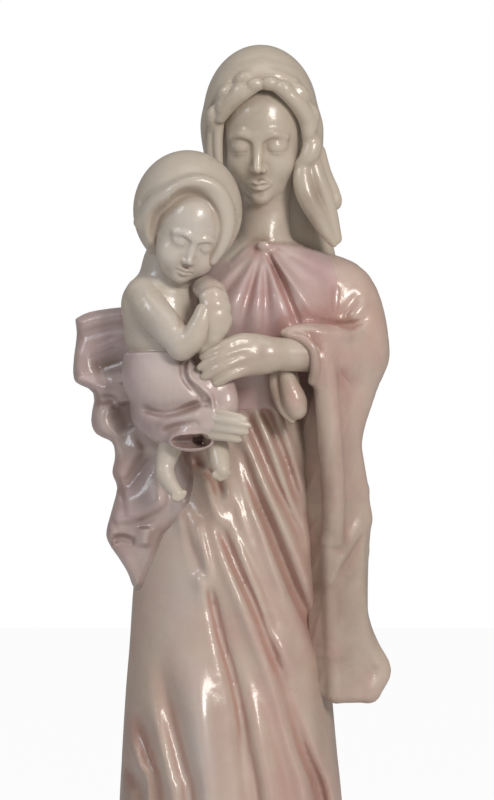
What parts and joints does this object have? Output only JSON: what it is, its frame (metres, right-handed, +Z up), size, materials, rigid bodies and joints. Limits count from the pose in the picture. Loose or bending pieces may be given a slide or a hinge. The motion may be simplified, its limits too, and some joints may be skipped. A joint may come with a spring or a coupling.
{
  "type": "mother and child devotional statue",
  "caption": "Free-standing slip-cast ceramic statue of a veiled mother in a long folded gown who carries a hooded child on her right arm, on a round plinth.",
  "frame": {"origin": "centre of the plinth's resting face", "axes": "+Z up along the figure's height; the figure faces -Y; +X is the mother's left"},
  "size_m": [0.1166, 0.112, 0.4196],
  "materials": {
    "cream_glaze": "gloss glaze over cream slip",
    "hair_glaze": "gloss glaze, slightly darker cream",
    "rose_glaze": "gloss glaze with a rose wash",
    "pink_glaze": "gloss glaze with a pink wash in the fold valleys",
    "lilac_glaze": "gloss glaze with a lilac wash"
  },
  "bodies": {
    "root": {"plinth": "cream_glaze", "gown_skirt": "pink_glaze", "bodice": "rose_glaze", "mother_head": "cream_glaze", "left_hair_lock": "hair_glaze", "right_hair_lock": "hair_glaze", "veil": "cream_glaze", "left_sleeve": "pink_glaze", "left_hand": "cream_glaze", "left_sleeve_fall": "pink_glaze", "left_cuff_tip": "cream_glaze", "right_sleeve": "pink_glaze", "mantle_cascade": "lilac_glaze", "right_hand": "cream_glaze", "back_mantle": "cream_glaze", "child_robe": "lilac_glaze", "child_body": "cream_glaze", "child_head": "cream_glaze", "child_hood": "cream_glaze", "child_left_arm": "cream_glaze", "child_right_arm": "cream_glaze", "child_left_leg": "cream_glaze", "child_right_leg": "cream_glaze", "right_shoe": "cream_glaze"}
  },
  "joints": []
}
